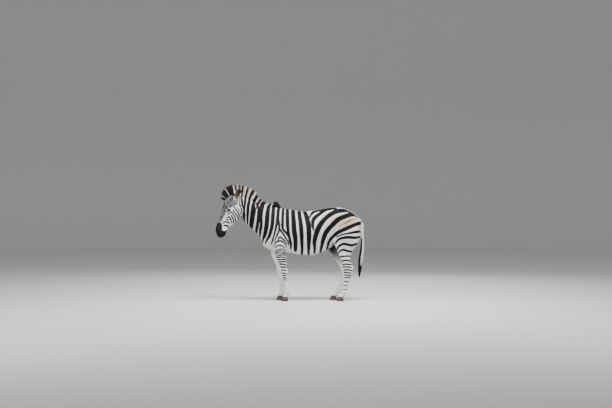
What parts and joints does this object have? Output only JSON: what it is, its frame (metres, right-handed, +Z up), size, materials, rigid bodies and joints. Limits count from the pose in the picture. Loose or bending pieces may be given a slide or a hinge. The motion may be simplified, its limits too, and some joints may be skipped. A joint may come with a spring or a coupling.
{
  "type": "zebra",
  "caption": "Life-size plains zebra standing still, with an upright mane, striped coat and tasselled tail; a display model that rests on its hooves.",
  "frame": {"origin": "on the ground under the middle of the animal's outline", "axes": "+Z up, -X towards the nose, -Y to the animal's left"},
  "size_m": [2.0969, 0.4912, 1.652],
  "materials": {
    "coat": "short flat hair, white with blue-black stripes",
    "long_hair": "stiff upright hair, black and white",
    "horn": "smooth dark hoof horn",
    "eye": "wet and dark brown"
  },
  "bodies": {
    "root": {"head": "coat", "neck": "coat", "trunk": "coat", "foreleg_left": "coat", "foreleg_right": "coat", "hindleg_left": "coat", "hindleg_right": "coat", "forehoof_left": "horn", "forehoof_right": "horn", "hindhoof_left": "horn", "hindhoof_right": "horn", "eye_left": "eye", "eye_right": "eye", "ear_left": "coat", "ear_right": "coat", "tail_dock": "coat", "tail_tassel": "long_hair", "mane": "long_hair"}
  },
  "joints": []
}
